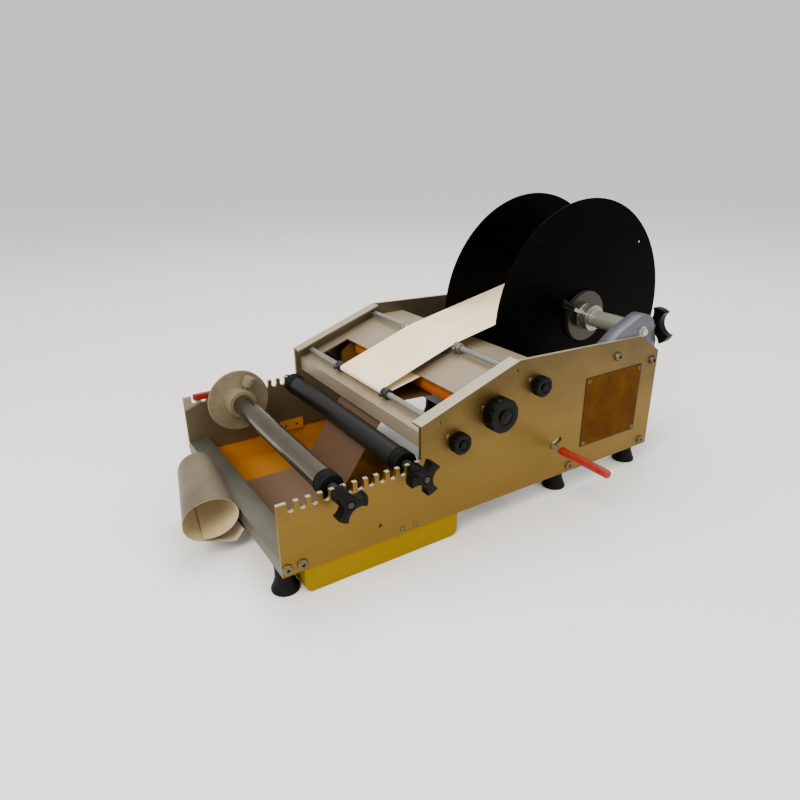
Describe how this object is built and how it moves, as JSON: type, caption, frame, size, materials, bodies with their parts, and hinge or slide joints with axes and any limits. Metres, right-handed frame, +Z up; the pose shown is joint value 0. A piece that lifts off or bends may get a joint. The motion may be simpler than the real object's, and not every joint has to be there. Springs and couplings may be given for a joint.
{
  "type": "bottle labeling machine",
  "caption": "Tabletop machine with bottle rollers, a sloped label table, a driven web and a reel between large discs, for labels on round bottles.",
  "frame": {"origin": "centre of the whole machine's box at the ground, under the feet", "axes": "+X to the machine's right, where the knobs are; +Y from the bottle rollers at the front to the reel at the rear; +Z up"},
  "size_m": [0.473, 0.8118, 0.3905],
  "materials": {
    "plate": "satin, warm",
    "bar": "satin",
    "rubber": "matt",
    "screw": "bright",
    "tray": "semi gloss yellow",
    "table": "satin",
    "rod": "polished",
    "collar": "satin dark grey",
    "sensor": "matt",
    "web": "smooth cream",
    "liner": "glassine, slightly glossy",
    "tube": "satin turned",
    "sleeve": "glossy",
    "knob": "satin",
    "stop": "cream",
    "shaft": "ground",
    "polyurethane": "satin orange",
    "gear": "machined",
    "steel": "satin",
    "bush": "oiled",
    "red": "soft grip",
    "motor": "semi gloss",
    "arm": "painted light grey",
    "hub": "turned",
    "disc": "high gloss black",
    "panel": "printed foil, bare",
    "box": "grey",
    "switch": "gloss"
  },
  "bodies": {
    "base": {"side_plate_right": "plate", "side_plate_left": "plate", "front_cross_bar": "bar", "middle_cross_bar": "bar", "rear_foot_brackets": "bar", "rubber_feet": "rubber", "frame_bolts": "screw", "base_tray": "tray", "table_bed": "table", "guide_rods": "rod", "label_sensor": "sensor", "label_web": "web", "liner_strip": "liner", "roller_axles": "shaft", "axle_spacers": "collar", "axle_nuts": "screw", "bearing_blocks": "bush", "small_screws": "screw", "nip_pivot_shaft": "shaft", "nip_spring": "steel", "gear_bracket": "steel", "gearmotor": "motor", "reel_arms": "arm", "arm_screws": "screw", "name_panel": "panel", "edge_clip": "red", "electronics_box": "box", "power_inlet": "sensor"},
    "front_roller": {"front_roller_tube": "tube", "front_roller_caps": "rubber"},
    "bottle_stop": {"stop_disc": "stop"},
    "rear_roller": {"rear_roller_tube": "sleeve", "rear_roller_caps": "rubber"},
    "front_clamp": {"front_clamp_knob": "knob"},
    "rear_clamp": {"rear_clamp_knob": "knob"},
    "drive": {"drive_shaft": "shaft", "drive_roller": "polyurethane", "drive_gear": "gear", "drive_knob": "knob"},
    "idler": {"idler_gear": "gear"},
    "pinion": {"motor_pinion": "steel"},
    "exit_guide": {"exit_roller": "tube", "exit_knob": "knob"},
    "nip_arm": {"nip_frame": "steel", "lever_rod": "shaft", "lever_sleeve": "red"},
    "nip": {"nip_roller": "sleeve"},
    "nip_setting": {"nip_knob": "knob"},
    "collar_front_right": {"front_collar_right": "collar"},
    "collar_front_left": {"front_collar_left": "collar"},
    "collar_rear_right": {"rear_collar_right": "hub"},
    "collar_rear_left": {"rear_collar_left": "hub"},
    "reel": {"spindle": "rod", "reel_disc_left": "disc", "hub_left": "hub", "label_roll": "web"},
    "outer_disc": {"reel_disc_right": "disc", "hub_right": "hub"},
    "brake": {"brake_knob": "knob"},
    "switch": {"rocker_switch": "switch"}
  },
  "joints": [
    {"name": "front_roller_spin", "type": "hinge", "parent": "base", "child": "front_roller", "pos_m": [-0.0415, -0.26163, 0.1163], "axis": [1, 0, 0], "continuous": true},
    {"name": "bottle_stop_slide", "type": "slide", "parent": "front_roller", "child": "bottle_stop", "axis": [1, 0, 0], "range_m": [0, 0.24]},
    {"name": "rear_roller_spin", "type": "hinge", "parent": "base", "child": "rear_roller", "pos_m": [-0.0415, -0.16363, 0.1163], "axis": [1, 0, 0], "continuous": true},
    {"name": "front_clamp_turn", "type": "hinge", "parent": "base", "child": "front_clamp", "pos_m": [0.1535, -0.26163, 0.1163], "axis": [1, 0, 0], "continuous": true},
    {"name": "rear_clamp_turn", "type": "hinge", "parent": "base", "child": "rear_clamp", "pos_m": [0.1535, -0.16363, 0.1163], "axis": [1, 0, 0], "continuous": true},
    {"name": "drive_spin", "type": "hinge", "parent": "base", "child": "drive", "pos_m": [-0.0415, -0.04463, 0.162], "axis": [1, 0, 0], "continuous": true},
    {"name": "idler_spin", "type": "hinge", "parent": "base", "child": "idler", "pos_m": [-0.2055, -0.01391, 0.14049], "axis": [1, 0, 0], "continuous": true},
    {"name": "pinion_spin", "type": "hinge", "parent": "base", "child": "pinion", "pos_m": [-0.2055, 0.01359, 0.14049], "axis": [1, 0, 0], "continuous": true},
    {"name": "exit_guide_spin", "type": "hinge", "parent": "base", "child": "exit_guide", "pos_m": [-0.0415, -0.10163, 0.137], "axis": [1, 0, 0], "continuous": true},
    {"name": "nip_release", "type": "hinge", "parent": "base", "child": "nip_arm", "pos_m": [0.0345, 0.02637, 0.182], "axis": [1, 0, 0], "range_deg": [0, 8], "stiffness_Nm_per_rad": 1, "springref_deg": -17.19},
    {"name": "nip_spin", "type": "hinge", "parent": "nip_arm", "child": "nip", "pos_m": [-0.0415, -0.01858, 0.14014], "axis": [1, 0, 0], "continuous": true},
    {"name": "nip_setting_turn", "type": "hinge", "parent": "base", "child": "nip_setting", "pos_m": [0.1465, 0.02637, 0.182], "axis": [1, 0, 0], "continuous": true},
    {"name": "collar_front_right_slide", "type": "slide", "parent": "base", "child": "collar_front_right", "axis": [1, 0, 0], "range_m": [0, 0.085]},
    {"name": "collar_front_left_slide", "type": "slide", "parent": "base", "child": "collar_front_left", "axis": [-1, 0, 0], "range_m": [0, 0.085]},
    {"name": "collar_rear_right_slide", "type": "slide", "parent": "base", "child": "collar_rear_right", "axis": [1, 0, 0], "range_m": [0, 0.085]},
    {"name": "collar_rear_left_slide", "type": "slide", "parent": "base", "child": "collar_rear_left", "axis": [-1, 0, 0], "range_m": [0, 0.085]},
    {"name": "reel_spin", "type": "hinge", "parent": "base", "child": "reel", "pos_m": [-0.0415, 0.23137, 0.216], "axis": [1, 0, 0], "continuous": true},
    {"name": "outer_disc_slide", "type": "slide", "parent": "reel", "child": "outer_disc", "axis": [1, 0, 0], "range_m": [0, 0.05]},
    {"name": "brake_turn", "type": "hinge", "parent": "base", "child": "brake", "pos_m": [0.1235, 0.27437, 0.216], "axis": [0, 1, 0], "continuous": true},
    {"name": "switch_tip", "type": "hinge", "parent": "base", "child": "switch", "pos_m": [-0.2175, 0.18787, 0.091], "axis": [0, 1, 0], "range_deg": [0, 16]}
  ],
  "couplings": [
    {"joint": "idler_spin", "follows": "drive_spin", "ratio": -1},
    {"joint": "pinion_spin", "follows": "drive_spin", "ratio": 2.1429},
    {"joint": "nip_spin", "follows": "drive_spin", "ratio": -1.2}
  ]
}
